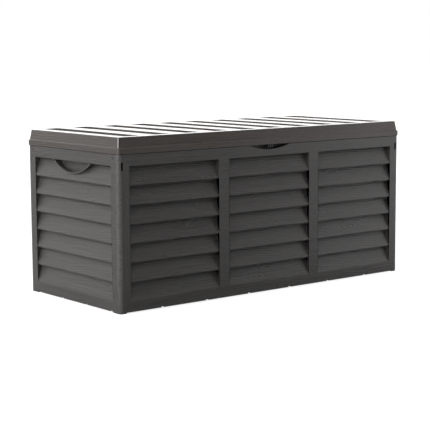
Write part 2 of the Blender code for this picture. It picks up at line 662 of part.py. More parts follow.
def hinge_leaf(name, centre, finish, on_lid):
    """A hinge leaf: a screwed plate and its knuckles on the pin. The lid's leaf has the middle knuckle."""
    third = HINGE_LENGTH / 3
    if on_lid:
        bottom, top = LID_LEAF_BOTTOM, LID_LEAF_TOP
        screw_z = top - LID_SCREW_DROP
        web_end = HINGE_Z + PAST
        knuckles = [(-third / 2 + GAP, third / 2 - GAP)]
    else:
        bottom, top = BODY_LEAF_TOP - BODY_LEAF_HEIGHT, BODY_LEAF_TOP
        screw_z = top - BODY_LEAF_HEIGHT / 2
        web_end = HINGE_Z - PAST
        knuckles = [(-HINGE_LENGTH / 2, -third / 2 - GAP), (third / 2 + GAP, HINGE_LENGTH / 2)]
    back = LEAF_FACE - LEAF_THICKNESS
    mesh = bmesh.new()
    low = (centre - HINGE_LENGTH / 2, back, bottom)
    add_box(mesh, low, (centre + HINGE_LENGTH / 2, LEAF_FACE, top))
    leaf = make(name, mesh, finish, smooth=True)
    for index, (left, right) in enumerate(knuckles):
        barrel = bmesh.new()
        outline = circle((HINGE_Y, HINGE_Z), KNUCKLE_RADIUS, KNUCKLE_SIDES)
        add_prism(barrel, outline, 0, centre + left, centre + right)
        combine(leaf, barrel, "UNION", f"barrel_{index}")
        web = bmesh.new()
        reach = sorted((web_end, (top + bottom) / 2))
        low = (centre + left + GAP, back + GAP, reach[0])
        add_box(web, low, (centre + right - GAP, LEAF_FACE - GAP, reach[1]))
        combine(leaf, web, "UNION", f"web_{index}")
    bore = bmesh.new()
    ends = (centre - HINGE_LENGTH / 2 - PAST, centre + HINGE_LENGTH / 2 + PAST)
    add_prism(bore, circle((HINGE_Y, HINGE_Z), PIN_RADIUS + PIN_CLEARANCE, PIN_SIDES), 0, *ends)
    combine(leaf, bore, "DIFFERENCE", "pin_bore")
    holes = bmesh.new()
    for side in (-1, 1):
        at = (centre + side * SCREW_SPACING / 2, screw_z)
        add_prism(holes, circle(at, SCREW_HOLE_RADIUS, HOLE_SIDES), 1, back - PAST, LEAF_FACE + PAST)
    combine(leaf, holes, "DIFFERENCE", "screw_holes")
    return leaf, screw_z


def pin(name, centre, finish):
    """A plain hinge pin that runs the length of the hinge."""
    half = HINGE_LENGTH / 2 - GAP
    mesh = bmesh.new()
    add_prism(mesh, circle((0, 0), PIN_RADIUS, PIN_SIDES), 0, -half, half)
    return make(name, mesh, finish, Matrix.Translation((centre, HINGE_Y, HINGE_Z)), smooth=True)


def screw(name, at, direction, length, finish):
    """A screw whose domed head rests outside `at` and whose shank runs along `direction` to a point."""
    profile = []
    for step in range(HEAD_STEPS + 1):
        turn = math.pi / 2 * step / HEAD_STEPS
        profile.append((SCREW_HEAD_RADIUS * math.sin(turn), -SCREW_HEAD_HEIGHT * math.cos(turn)))
    profile += [(SCREW_SHANK_RADIUS, 0.0), (SCREW_SHANK_RADIUS, length - SCREW_TIP), (0.0, length)]
    mesh = bmesh.new()
    rings = []
    for radius, along in profile:
        outline = circle((0, 0), radius, SCREW_SIDES) if radius else [(0.0, 0.0)]
        rings.append([mesh.verts.new((x, y, along)) for x, y in outline])
    for one, two in zip(rings, rings[1:]):
        for index in range(SCREW_SIDES):
            after = index + 1
            corners = [one[index % len(one)], one[after % len(one)]]
            corners += [two[after % len(two)], two[index % len(two)]]
            mesh.faces.new(list(dict.fromkeys(corners)))
    turn = Vector((0, 0, 1)).rotation_difference(Vector(direction)).to_matrix().to_4x4()
    return make(name, mesh, finish, Matrix.Translation(Vector(at)) @ turn, smooth=True)


def hasp(finish):
    """The lock tongue that hangs from the lid into the latch recess, with its padlock hole."""
    front = -BOX_DEPTH / 2 + LIP_WALL + GAP
    plate_back = front + HASP_PLATE
    plate_low = LID_BOTTOM + HASP_PLATE_RISE
    plate_top = LIP_TOP - HASP_PLATE_DROP
    mesh = bmesh.new()
    low = (HASP_CENTRE - HASP_PLATE_WIDTH / 2, front, plate_low)
    add_box(mesh, low, (HASP_CENTRE + HASP_PLATE_WIDTH / 2, plate_back, plate_top))
    made = make("lid_hasp", mesh, finish)

    tip = LID_BOTTOM - LATCH_DROP + HASP_TIP_ROOM
    back = front + HASP_REACH
    outline = [
        (front, plate_low + PAST),
        (front, tip + HASP_CHAMFER),
        (front + HASP_CHAMFER, tip),
        (back - HASP_CHAMFER, tip),
        (back, tip + HASP_CHAMFER),
        (back, LID_BOTTOM + LID_LIP_HEIGHT / 2),
        (plate_back - GAP, plate_top - PAST),
    ]
    tongue = bmesh.new()
    half = HASP_THICKNESS / 2
    add_prism(tongue, outline, 0, HASP_CENTRE - half, HASP_CENTRE + half)
    combine(made, tongue, "UNION", "tongue")
    hole_at = (front + HASP_HOLE_BACK, tip + HASP_HOLE_RISE)
    hole = bmesh.new()
    outline = circle(hole_at, PADLOCK_HOLE_RADIUS, PADLOCK_HOLE_SIDES)
    add_prism(hole, outline, 0, HASP_CENTRE - half - PAST, HASP_CENTRE + half + PAST)
    combine(made, hole, "DIFFERENCE", "hole")
    return made, hole_at


def keeper(finish, hole_at):
    """The two fixed lugs in the latch recess that the lock tongue drops between."""
    half = KEEPER_WIDTH / 2
    back = -BODY_DEPTH / 2 + LATCH_DEPTH - GAP
    bottom = BODY_TOP - LATCH_DROP + KEEPER_RISE
    mesh = bmesh.new()
    low = (HASP_CENTRE - half, back - KEEPER_PLATE, bottom)
    add_box(mesh, low, (HASP_CENTRE + half, back, bottom + KEEPER_HEIGHT))
    made = make("padlock_keeper", mesh, finish)
    near = HASP_THICKNESS / 2 + KEEPER_ROOM
    for index, side in enumerate((-1, 1)):
        lug = bmesh.new()
        edges = sorted((HASP_CENTRE + side * near, HASP_CENTRE + side * (near + LUG_THICKNESS)))
        low = (edges[0], hole_at[0] - LUG_FRONT, bottom + PAST)
        add_box(lug, low, (edges[1], back - KEEPER_PLATE / 2, LID_BOTTOM + PAST))
        combine(made, lug, "UNION", f"lug_{index}")
    hole = bmesh.new()
    outline = circle(hole_at, PADLOCK_HOLE_RADIUS, PADLOCK_HOLE_SIDES)
    add_prism(hole, outline, 0, HASP_CENTRE - half, HASP_CENTRE + half)
    combine(made, hole, "DIFFERENCE", "hole")
    return made


def main():
    for item in list(bpy.data.objects):
        bpy.data.objects.remove(item)

    plastic = material("graphite_polypropylene", (0.060, 0.056, 0.055), 0.42)
    lid_plastic = material("graphite_lid_polypropylene", (0.064, 0.058, 0.055), 0.40)
    black_plastic = material("black_polypropylene", (0.020, 0.020, 0.021), 0.5)
    nylon = material("black_nylon", (0.016, 0.016, 0.017), 0.45)
    steel = material("zinc_plated_steel", (0.62, 0.62, 0.60), 0.35, 1.0)

    front_panel(plastic)
    rear_panel(plastic)
    for side, name in ((-1, "left"), (1, "right")):
        side_panel(f"{name}_side_panel", plastic, side)
        floor_half(f"{name}_floor", black_plastic, side)

    hinge_axis = bpy.data.objects.new("lid_hinge_axis", None)
    bpy.context.scene.collection.objects.link(hinge_axis)
    hinge_axis.location = (0, HINGE_Y, HINGE_Z)
    moving = [lid(lid_plastic)]
    made_hasp, hole_at = hasp(black_plastic)
    moving.append(made_hasp)
    keeper(black_plastic, hole_at)

    for name, centre in HINGE_PLACES.items():
        body_z = hinge_leaf(f"{name}_hinge_body_leaf", centre, nylon, False)[1]
        lid_leaf, lid_z = hinge_leaf(f"{name}_hinge_lid_leaf", centre, nylon, True)
        moving.append(lid_leaf)
        pin(f"{name}_hinge_pin", centre, steel)
        for side, end in ((-1, "a"), (1, "b")):
            x = centre + side * SCREW_SPACING / 2
            y = LEAF_FACE + GAP
            inward = (0, -1, 0)
            screw(f"{name}_body_screw_{end}", (x, y, body_z), inward, SCREW_LENGTH, steel)
            moving.append(screw(f"{name}_lid_screw_{end}", (x, y, lid_z), inward, SCREW_LENGTH, steel))

    for side, name in ((-1, "left"), (1, "right")):
        for end, place in ((-1, "front"), (1, "rear")):
            y = end * (SIDE_WIDTH / 2 - CORNER_SCREW_INSET)
            x = side * (BODY_LENGTH / 2 - CORNER_SCREW_SEAT + GAP)
            at = (x, y, BODY_TOP - CORNER_SCREW_DROP)
            screw(f"{place}_{name}_corner_screw", at, (-side, 0, 0), CORNER_SCREW_LENGTH, black_plastic)

    bpy.context.view_layer.update()
    for item in moving:
        item.parent = hinge_axis
        item.matrix_parent_inverse = hinge_axis.matrix_world.inverted()


main()
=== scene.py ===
"""Finishes the deck storage box: rounded edges, wood-grained plastic, ribs, tread, screws and studio."""

import math

import bmesh
import bpy
from mathutils import Matrix, Vector


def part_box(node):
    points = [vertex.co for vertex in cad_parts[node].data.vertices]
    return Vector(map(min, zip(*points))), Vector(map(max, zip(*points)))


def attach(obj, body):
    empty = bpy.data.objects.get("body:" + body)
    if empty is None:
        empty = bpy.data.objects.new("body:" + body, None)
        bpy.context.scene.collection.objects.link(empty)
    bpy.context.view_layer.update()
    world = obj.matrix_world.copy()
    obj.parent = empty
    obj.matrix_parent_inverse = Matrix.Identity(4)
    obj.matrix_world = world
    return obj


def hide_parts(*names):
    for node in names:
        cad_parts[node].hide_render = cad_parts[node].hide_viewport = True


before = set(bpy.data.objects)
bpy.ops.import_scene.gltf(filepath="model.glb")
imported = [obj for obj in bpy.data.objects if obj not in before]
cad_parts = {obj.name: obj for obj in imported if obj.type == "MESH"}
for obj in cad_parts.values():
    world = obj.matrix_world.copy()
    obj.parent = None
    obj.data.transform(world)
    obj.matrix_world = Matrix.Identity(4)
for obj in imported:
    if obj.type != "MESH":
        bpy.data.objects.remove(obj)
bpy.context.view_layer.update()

bl_info = {
    "name": "Louvred deck box finish",
    "version": (1, 0, 0),
    "blender": (4, 5, 0),
    "location": "3D View > Sidebar > Deck box",
    "description": "Dresses the louvred deck box in moulded plastic and sets its studio",
    "category": "Object",
}

MM = 0.001
BODY = "box_body"
LID = "lid_body"
LONG_PANELS = ("front_panel", "rear_panel")
SIDE_PANELS = ("left_side_panel", "right_side_panel")
HINGES = ("left", "middle", "right")

# Places read off the frame
LID_LOW, LID_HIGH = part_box("lid")
FRONT_LOW, FRONT_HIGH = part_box("front_panel")
SIDE_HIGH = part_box("left_side_panel")[1]
FLOOR_LOW, FLOOR_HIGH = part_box("right_floor")
HALF_LENGTH = FRONT_HIGH.x
HALF_DEPTH = -FRONT_LOW.y
BODY_TOP = LID_LOW.z - 0.6 * MM  # the closed lid hangs this far above the walls

# Layout of the mouldings
SLAT_COUNT = 7
SLAT_BOTTOM = 37.5 * MM
SLAT_TOP = BODY_TOP - 36 * MM
SLAT_PITCH = (SLAT_TOP - SLAT_BOTTOM) / SLAT_COUNT
PANEL_WALL = 3.5 * MM
PANEL_THICKNESS = 24 * MM
LONG_STILE = 40 * MM
SIDE_STILE = 26 * MM
MULLION = 42 * MM
WINDOW = (2 * HALF_LENGTH - 2 * LONG_STILE - 2 * MULLION) / 3
CORNER_STRIP = 15.2 * MM
LATCH_HALF = 88 * MM
HINGE_PITCH = 380 * MM
HINGE_HALF = 37 * MM
STRIP_COUNT = 10
STRIP_WIDTH = 59.5 * MM
STRIP_PITCH = 116.5 * MM
STRIP_DEPTH = 7 * MM
LID_WALL = 3.5 * MM
SCREW_HEAD_RADIUS = 3.6 * MM
SCREW_HEAD_HEIGHT = 1.8 * MM
SCREW_SHANK_RADIUS = 1.5 * MM
SCREW_SHANK_LENGTH = 6 * MM
SCREW_SIDES = 28
DOME_STEPS = 6
CROSS_REACH = 2.1 * MM
CROSS_HALF_WIDTH = 0.42 * MM
CROSS_DEPTH = 0.9 * MM
CROSS_RISE = 0.1 * MM
PAD_LENGTH = 16 * MM
PAD_WIDTH = 5 * MM
PAD_SIDES = 12
PAD_SINK = 0.1 * MM  # how far a pad's foot lies in the floor, so that no gap shows
TREAD_BORDER = 30 * MM
TAB_REACH = 8 * MM  # how far the floor's tabs reach into the bottom rails
LID_RIB_FRONT = 60 * MM
LID_RIB_REAR = 40 * MM

# Mesh clean-up and rounding
WELD = 0.02 * MM
FLAT_ANGLE = math.radians(0.4)
ROUNDED_FROM = math.radians(28)
SMOOTH_UP_TO = math.radians(32)
BLUNT_BELOW = math.radians(50)
FACE_TOLERANCE = 0.4 * MM
FACE_BAND = 3 * MM  # faces this near the outside belong to the stiles

# Camera and softbox
CAMERA_PLACE = (-2.813, -3.483, 0.816)
CAMERA_YAW, CAMERA_PITCH, CAMERA_ROLL = (math.radians(angle) for angle in (38.68, 7.5, -0.31))
CAMERA_LENS = 110.3
CAMERA_SENSOR = 36.0
SOFTBOX_PLACE = Vector((1.35, -0.95, 0.45))
SOFTBOX_AIM = 0.3  # height that it points at, on the box's front right corner
SOFTBOX_SIZE = (0.7, 0.9)
SOFTBOX_RADIANCE = 1.2
FLOOR_REACH = 30.0

# The studio's brightness round the box: degrees from the front, by the right side, and strength.
ROOM_PEAK = 5.0
ROOM = (
    (-180, 2.7),
    (-162, 2.0),
    (-147, 0.85),
    (-128, 1.1),
    (-104, 4.9),
    (-62, 5.0),
    (-53, 0.8),
    (-42, 0.05),
    (34, 0.03),
    (46, 0.20),
    (58, 1.10),
    (80, 1.60),
    (125, 2.2),
    (145, 2.7),
    (180, 2.7),
)
CEILING = 1.0

# Rotations that lay the grain's run on X and its width on Y, for each way that the boards lie.
GRAIN_TURNS = {
    "length": Matrix(((1, 0, 0), (0, 0, 1), (0, -1, 0))).to_euler(),
    "depth": Matrix(((0, 1, 0), (0, 0, 1), (1, 0, 0))).to_euler(),
    "upright": Matrix(((0, 0, 1), (1, 0, 0), (0, 1, 0))).to_euler(),
    "top": Matrix(((0, 1, 0), (-1, 0, 0), (0, 0, 1))).to_euler(),
}


# ---------------------------------------------------------------- colours and node trees


def linear(hex_colour):
    """Turns an sRGB hex colour into the linear RGBA that shaders take."""
    channels = [int(hex_colour[index : index + 2], 16) / 255 for index in (1, 3, 5)]
    values = [c / 12.92 if c <= 0.04045 else ((c + 0.055) / 1.055) ** 2.4 for c in channels]
    return (*values, 1.0)


def shade(colour, amount):
    """A linear colour made lighter or darker by a factor."""
    return (*(min(1.0, value * amount) for value in colour[:3]), 1.0)


def add_node(tree, kind, inputs=None, **settings):
    """Adds a node, sets its properties, and fills or links its inputs by name or number."""
    node = tree.nodes.new(kind)
    for key, value in settings.items():
        setattr(node, key, value)
    for key, value in (inputs or {}).items():
        if isinstance(value, bpy.types.NodeSocket):
            tree.links.new(value, node.inputs[key])
        elif value is not None:
            node.inputs[key].default_value = value
    return node


def new_material(name):
    """A material with its shader, ready for nodes."""
    made = bpy.data.materials.new(name)
    made.use_nodes = True
    tree = made.node_tree
    return made, tree, tree.nodes["Principled BSDF"]


def grained_plastic(name, colour, along, boards, figure, roughness):
    """Moulded polypropylene, its mould etched with wood grain: satin, with long soft streaks of sheen painted
    into its colour.

    boards is the first board's edge across the grain and the width of a board. Each board has its own figure.
    """
    made, tree, shader = new_material(name)
    place = add_node(tree, "ShaderNodeTexCoord").outputs["Object"]
    turn = {"Vector": place, "Rotation": GRAIN_TURNS[along]}
    turned = add_node(tree, "ShaderNodeMapping", turn).outputs[0]
    across = add_node(tree, "ShaderNodeSeparateXYZ", {0: turned}).outputs["Y"]
    first, width = boards
    count = add_node(
        tree, "ShaderNodeMath", {0: across, 1: 1 / width, 2: -first / width}, operation="MULTIPLY_ADD"
    ).outputs[0]
    board = add_node(tree, "ShaderNodeMath", {0: count}, operation="FLOOR").outputs[0]
    pick = add_node(tree, "ShaderNodeTexWhiteNoise", {"W": board}, noise_dimensions="1D").outputs["Color"]
    own = add_node(
        tree, "ShaderNodeVectorMath", {0: pick, 1: (7.0, 3.0, 3.0), 2: turned}, operation="MULTIPLY_ADD"
    ).outputs[0]
    # Slow drift of the lines over about 250 mm, which opens them into arches.
    slow = add_node(tree, "ShaderNodeMapping", {"Vector": own, "Scale": (4.0, 14.0, 14.0)}).outputs[0]
    wander = {"Vector": slow, "Scale": 1.0, "Detail": 1.5}
    drift = add_node(tree, "ShaderNodeTexNoise", wander).outputs["Color"]
    bent = add_node(
        tree, "ShaderNodeVectorMath", {0: drift, 1: (0.0, 0.055, 0.0), 2: own}, operation="MULTIPLY_ADD"
    ).outputs[0]
    # Growth lines 8 mm apart. A wave's period is 2 pi / (20 * scale).
    lines = add_node(
        tree, "ShaderNodeTexWave", {"Vector": bent, "Scale": math.pi / (10 * 8 * MM)}, bands_direction="Y"
    ).outputs["Fac"]
    # Knots about 200 mm apart, with rings squeezed along the grain.
    cells = add_node(tree, "ShaderNodeMapping", {"Vector": own, "Scale": (5.0, 17.0, 17.0)}).outputs[0]
    knot = add_node(tree, "ShaderNodeTexVoronoi", {"Vector": cells, "Scale": 1.0}).outputs["Distance"]
    turns = add_node(tree, "ShaderNodeMath", {0: knot, 1: 55.0}, operation="MULTIPLY").outputs[0]
    ring = add_node(tree, "ShaderNodeMath", {0: turns}, operation="SINE").outputs[0]
    near = add_node(tree, "ShaderNodeMapRange", {"Value": knot, 1: 0.05, 2: 0.3, 3: 1.0, 4: 0.0}).outputs[0]
    rings = add_node(tree, "ShaderNodeMath", {0: ring, 1: near}, operation="MULTIPLY").outputs[0]
    # Fibres 2.5 mm wide and 50 mm long; real ones are half as wide and would not show.
    fine = add_node(tree, "ShaderNodeMapping", {"Vector": bent, "Scale": (20.0, 400.0, 400.0)}).outputs[0]
    fibre = add_node(tree, "ShaderNodeTexNoise", {"Vector": fine, "Scale": 1.0, "Detail": 3.0}).outputs["Fac"]
    # Bands about 8 mm wide and 300 mm long, where the etching is shallower, with painted sheen: their colour
    # is lighter.
    broad = add_node(tree, "ShaderNodeMapping", {"Vector": own, "Scale": (3.0, 120.0, 120.0)}).outputs[0]
    painted_sheen_band = add_node(tree, "ShaderNodeTexNoise", {"Vector": broad, "Scale": 1.0, "Detail": 2.0}).outputs["Fac"]
    # Spark-eroded mould skin, 0.4 mm in the real one, drawn at 1 mm.
    grit = {"Vector": place, "Scale": 1000.0, "Detail": 1.0}
    skin = add_node(tree, "ShaderNodeTexNoise", grit).outputs["Fac"]
    # The relief: fibres whole, and the shares of the lines, the knots and the skin that lie over them.
    height = fibre
    for part, share in ((lines, 0.30), (rings, 0.45), (skin, 0.15)):
        layer = {0: part, 1: share, 2: height}
        height = add_node(tree, "ShaderNodeMath", layer, operation="MULTIPLY_ADD").outputs[0]
    relief = {"Height": height, "Strength": 1.0, "Distance": figure}
    bump = add_node(tree, "ShaderNodeBump", relief).outputs[0]
    tree.links.new(bump, shader.inputs["Normal"])
    # The tone: mostly the fibres and the bands of painted sheen, a little darker in the knots.
    tone = fibre
    for part, share in ((painted_sheen_band, 1.1), (rings, 0.10)):
        layer = {0: part, 1: share, 2: tone}
        tone = add_node(tree, "ShaderNodeMath", layer, operation="MULTIPLY_ADD").outputs[0]
    level = add_node(tree, "ShaderNodeMapRange", {"Value": tone, 1: 0.72, 2: 1.42}).outputs[0]
    mixed = add_node(
        tree, "ShaderNodeMix", {0: level, 6: shade(colour, 0.78), 7: shade(colour, 1.34)}, data_type="RGBA"
    )
    tree.links.new(mixed.outputs[2], shader.inputs["Base Color"])
    gloss = add_node(
        tree, "ShaderNodeMapRange", {"Value": level, 3: roughness - 0.06, 4: roughness + 0.07}
    ).outputs[0]
    tree.links.new(gloss, shader.inputs["Roughness"])
    shader.inputs["IOR"].default_value = 1.49
    return made


def smooth_plastic(name, colour, roughness, skin_depth, polish=0.0):
    """Plain moulded polypropylene or nylon: an even satin skin with faint flow marks.

    polish is the share of glossy skin that a bare part of the mould leaves over the satin.
    """
    made, tree, shader = new_material(name)
    place = add_node(tree, "ShaderNodeTexCoord").outputs["Object"]
    # Spark-eroded mould skin, 0.4 mm in the real one, drawn at 0.9 mm.
    grit = {"Vector": place, "Scale": 1100.0, "Detail": 2.0}
    skin = add_node(tree, "ShaderNodeTexNoise", grit).outputs["Fac"]
    # Flow marks about 30 mm across.
    flow = {"Vector": place, "Scale": 35.0, "Detail": 3.0}
    cloud = add_node(tree, "ShaderNodeTexNoise", flow).outputs["Fac"]
    mixed = add_node(
        tree, "ShaderNodeMix", {0: cloud, 6: shade(colour, 0.85), 7: shade(colour, 1.2)}, data_type="RGBA"
    )
    tree.links.new(mixed.outputs[2], shader.inputs["Base Color"])
    gloss = add_node(
        tree, "ShaderNodeMapRange", {"Value": cloud, 1: 0.3, 2: 0.7, 3: roughness - 0.05, 4: roughness + 0.07}
    ).outputs[0]
    tree.links.new(gloss, shader.inputs["Roughness"])
    relief = {"Height": skin, "Strength": 0.35, "Distance": skin_depth}
    bump = add_node(tree, "ShaderNodeBump", relief).outputs[0]
    tree.links.new(bump, shader.inputs["Normal"])
    shader.inputs["Coat Weight"].default_value = polish
    shader.inputs["Coat Roughness"].default_value = 0.14
    shader.inputs["IOR"].default_value = 1.5
    return made


def zinc_plated_steel(name):
    """Zinc-plated steel: a pale grey metal with slightly cloudy plating."""
    made, tree, shader = new_material(name)
    place = add_node(tree, "ShaderNodeTexCoord").outputs["Object"]
    # Plating clouds about 6 mm across.
    bloom = {"Vector": place, "Scale": 160.0, "Detail": 4.0}
    cloud = add_node(tree, "ShaderNodeTexNoise", bloom).outputs["Fac"]
    mixed = add_node(
        tree, "ShaderNodeMix", {0: cloud, 6: linear("#a9a9a4"), 7: linear("#cfcfca")}, data_type="RGBA"
    )
    tree.links.new(mixed.outputs[2], shader.inputs["Base Color"])
    gloss = add_node(tree, "ShaderNodeMapRange", {"Value": cloud, 3: 0.24, 4: 0.46}).outputs[0]
    tree.links.new(gloss, shader.inputs["Roughness"])
    shader.inputs["Metallic"].default_value = 1.0
    return made


# ---------------------------------------------------------------- meshes


def link_mesh(name, mesh):
    """Turns a bmesh into an object in the scene, at the origin."""
    data = bpy.data.meshes.new(name)
    mesh.to_mesh(data)
    mesh.free()
    made = bpy.data.objects.new(name, data)
    bpy.context.scene.collection.objects.link(made)
    return made


def merged_copy(node, name):
    """A welded copy of a CAD node, its flat faces whole again."""
    mesh = bmesh.new()
    mesh.from_mesh(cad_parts[node].data)
    bmesh.ops.remove_doubles(mesh, verts=mesh.verts[:], dist=WELD)
    bmesh.ops.dissolve_limit(
        mesh,
        angle_limit=FLAT_ANGLE,
        verts=mesh.verts[:],
        edges=mesh.edges[:],
        use_dissolve_boundaries=False,
    )
    return link_mesh(name, mesh)


def apply_modifiers(piece):
    """Gives the piece the mesh that its modifiers make, and removes them."""
    bpy.context.view_layer.update()
    graph = bpy.context.evaluated_depsgraph_get()
    data = bpy.data.meshes.new_from_object(piece.evaluated_get(graph))
    piece.modifiers.clear()
    piece.data = data
    return data


def skin_rings(mesh, rings):
    """Closes a stack of rings of equal length into a solid, the first ring lowest."""
    for below, above in zip(rings, rings[1:]):
        for index in range(len(below)):
            after = (index + 1) % len(below)
            mesh.faces.new((below[index], below[after], above[after], above[index]))
    mesh.faces.new(rings[-1])
    mesh.faces.new(rings[0][::-1])


def bake(piece):
    """Applies the modifiers and shades the piece smooth between its sharp edges, its flat faces kept flat."""
    data = apply_modifiers(piece)
    data.shade_smooth()
    data.set_sharp_from_angle(angle=SMOOTH_UP_TO)
    flat = piece.modifiers.new("flat_faces", "WEIGHTED_NORMAL")
    flat.keep_sharp = True
    apply_modifiers(piece)


def round_edges(piece, radius, segments, weight_of=None):
    """Rounds the sharp edges. weight_of gives each edge's share of the radius."""
    mesh = bmesh.new()
    mesh.from_mesh(piece.data)
    layer = mesh.edges.layers.float.new("bevel_weight_edge")
    for edge in mesh.edges:
        if len(edge.link_faces) == 2 and edge.calc_face_angle(0.0) >= ROUNDED_FROM:
            edge[layer] = weight_of(edge) if weight_of else 1.0
    mesh.to_mesh(piece.data)
    mesh.free()
    bevel = piece.modifiers.new("rounded_edges", "BEVEL")
    bevel.limit_method = "WEIGHT"
    bevel.width = radius
    bevel.segments = segments
    bevel.use_clamp_overlap = False
    bevel.miter_outer = "MITER_SHARP"
    bake(piece)


def dress(piece, *materials):
    """Gives a piece its materials, in the order of its face indices."""
    piece.data.materials.clear()
    for material in materials:
        piece.data.materials.append(material)


def hand_over(piece, body, nodes=()):
    """Hands a finished piece to the frame."""
    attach(piece, body)
    if nodes:
        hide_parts(*nodes)


# ---------------------------------------------------------------- what repeats


def new_growth(name, inputs):
    """A geometry tree with the named inputs, its input node, and a function that ends it."""
    tree = bpy.data.node_groups.new(name, "GeometryNodeTree")
    tree.interface.new_socket("Geometry", in_out="INPUT", socket_type="NodeSocketGeometry")
    for key, kind in inputs.items():
        tree.interface.new_socket(key, in_out="INPUT", socket_type=f"NodeSocket{kind}")
    tree.interface.new_socket("Material", in_out="INPUT", socket_type="NodeSocketMaterial")
    tree.interface.new_socket("Geometry", in_out="OUTPUT", socket_type="NodeSocketGeometry")
    given = add_node(tree, "NodeGroupInput")

    def end(instances):
        plain = add_node(tree, "GeometryNodeRealizeInstances", {"Geometry": instances}).outputs[0]
        coated = {"Geometry": plain, "Material": given.outputs["Material"]}
        finished = add_node(tree, "GeometryNodeSetMaterial", coated).outputs[0]
        add_node(tree, "NodeGroupOutput", {"Geometry": finished})
        return tree

    return tree, given, end


def rib_tree():
    """Upright ribs on a grid of points: each a box of the given size."""
    inputs = {"Columns": "Int", "Rows": "Int", "Span": "Vector", "Centre": "Vector", "Rib": "Vector"}
    tree, given, end = new_growth("rows_of_ribs", inputs)
    span = add_node(tree, "ShaderNodeSeparateXYZ", {0: given.outputs["Span"]})
    grid = {"Size X": span.outputs["X"], "Size Y": span.outputs["Y"]}
    grid |= {"Vertices X": given.outputs["Columns"], "Vertices Y": given.outputs["Rows"]}
    points = add_node(tree, "GeometryNodeMeshGrid", grid).outputs["Mesh"]
    rib = add_node(tree, "GeometryNodeMeshCube", {"Size": given.outputs["Rib"]}).outputs["Mesh"]
    ribs = add_node(tree, "GeometryNodeInstanceOnPoints", {"Points": points, "Instance": rib}).outputs[0]
    moved = add_node(
        tree, "GeometryNodeTransform", {"Geometry": ribs, "Translation": given.outputs["Centre"]}
    ).outputs[0]
    return end(moved)


def tread_tree():
    """Raised pads on a grid, each turned across its neighbours."""
    inputs = {"Columns": "Int", "Rows": "Int", "Span": "Vector", "Centre": "Vector", "Pad": "Object"}
    tree, given, end = new_growth("chequered_tread", inputs)
    span = add_node(tree, "ShaderNodeSeparateXYZ", {0: given.outputs["Span"]})
    grid = {"Size X": span.outputs["X"], "Size Y": span.outputs["Y"]}
    grid |= {"Vertices X": given.outputs["Columns"], "Vertices Y": given.outputs["Rows"]}
    points = add_node(tree, "GeometryNodeMeshGrid", grid).outputs["Mesh"]
    pad = add_node(tree, "GeometryNodeObjectInfo", {"Object": given.outputs["Pad"]}).outputs["Geometry"]
    index = add_node(tree, "GeometryNodeInputIndex").outputs[0]
    odd = add_node(tree, "ShaderNodeMath", {0: index, 1: 2.0}, operation="MODULO").outputs[0]
    lean = add_node(
        tree, "ShaderNodeMath", {0: odd, 1: math.pi / 2, 2: math.pi / 4}, operation="MULTIPLY_ADD"
    ).outputs[0]
    turn = add_node(tree, "ShaderNodeCombineXYZ", {"Z": lean}).outputs[0]
    pads = add_node(
        tree, "GeometryNodeInstanceOnPoints", {"Points": points, "Instance": pad, "Rotation": turn}
    ).outputs[0]
    moved = add_node(
        tree, "GeometryNodeTransform", {"Geometry": pads, "Translation": given.outputs["Centre"]}
    ).outputs[0]
    return end(moved)


def screw_tree():
    """A screw on each point, its head along the point's outward arrow and its cross turned at random."""
    tree, given, end = new_growth("driven_screws", {"Screw": "Object", "Size": "Float", "Seed": "Int"})
    screw = add_node(tree, "GeometryNodeObjectInfo", {"Object": given.outputs["Screw"]}).outputs["Geometry"]
    arrow = add_node(tree, "GeometryNodeInputNamedAttribute", {"Name": "outward"}, data_type="FLOAT_VECTOR")
    aimed = add_node(
        tree, "FunctionNodeAlignRotationToVector", {"Vector": arrow.outputs[0]}, axis="Z"
    ).outputs[0]
    quarter = {2: 0.0, 3: math.pi / 2, "Seed": given.outputs["Seed"]}
    spin = add_node(tree, "FunctionNodeRandomValue", quarter, data_type="FLOAT").outputs[1]
    upright = {"Axis": (0.0, 0.0, 1.0), "Angle": spin}
    about = add_node(tree, "FunctionNodeAxisAngleToRotation", upright).outputs[0]
    turned = add_node(
        tree, "FunctionNodeRotateRotation", {"Rotation": aimed, "Rotate By": about}, rotation_space="LOCAL"
    ).outputs[0]
    placed = {"Points": given.outputs["Geometry"], "Instance": screw, "Rotation": turned}
    placed["Scale"] = given.outputs["Size"]
    screws = add_node(tree, "GeometryNodeInstanceOnPoints", placed).outputs[0]
    return end(screws)


def grow(name, tree, rows, material, base=None):
    """Runs a tree once for each row of values and returns all that it makes as one plain mesh."""
    whole = bmesh.new()
    for values in rows:
        seedbed = base or link_mesh(f"{name}_seedbed", bmesh.new())
        growth = seedbed.modifiers.new(tree.name, "NODES")
        growth.node_group = tree
        for item in tree.interface.items_tree:
            if item.in_out == "INPUT" and item.name in values:
                growth[item.identifier] = values[item.name]
            elif item.in_out == "INPUT" and item.name == "Material":
                growth[item.identifier] = material
        bpy.context.view_layer.update()
        graph = bpy.context.evaluated_depsgraph_get()
        made = bpy.data.meshes.new_from_object(seedbed.evaluated_get(graph))
        whole.from_mesh(made)
        bpy.data.objects.remove(seedbed)
    piece = link_mesh(name, whole)
    dress(piece, material)
    piece.data.shade_smooth()
    piece.data.set_sharp_from_angle(angle=SMOOTH_UP_TO)
    return piece


# ---------------------------------------------------------------- settings


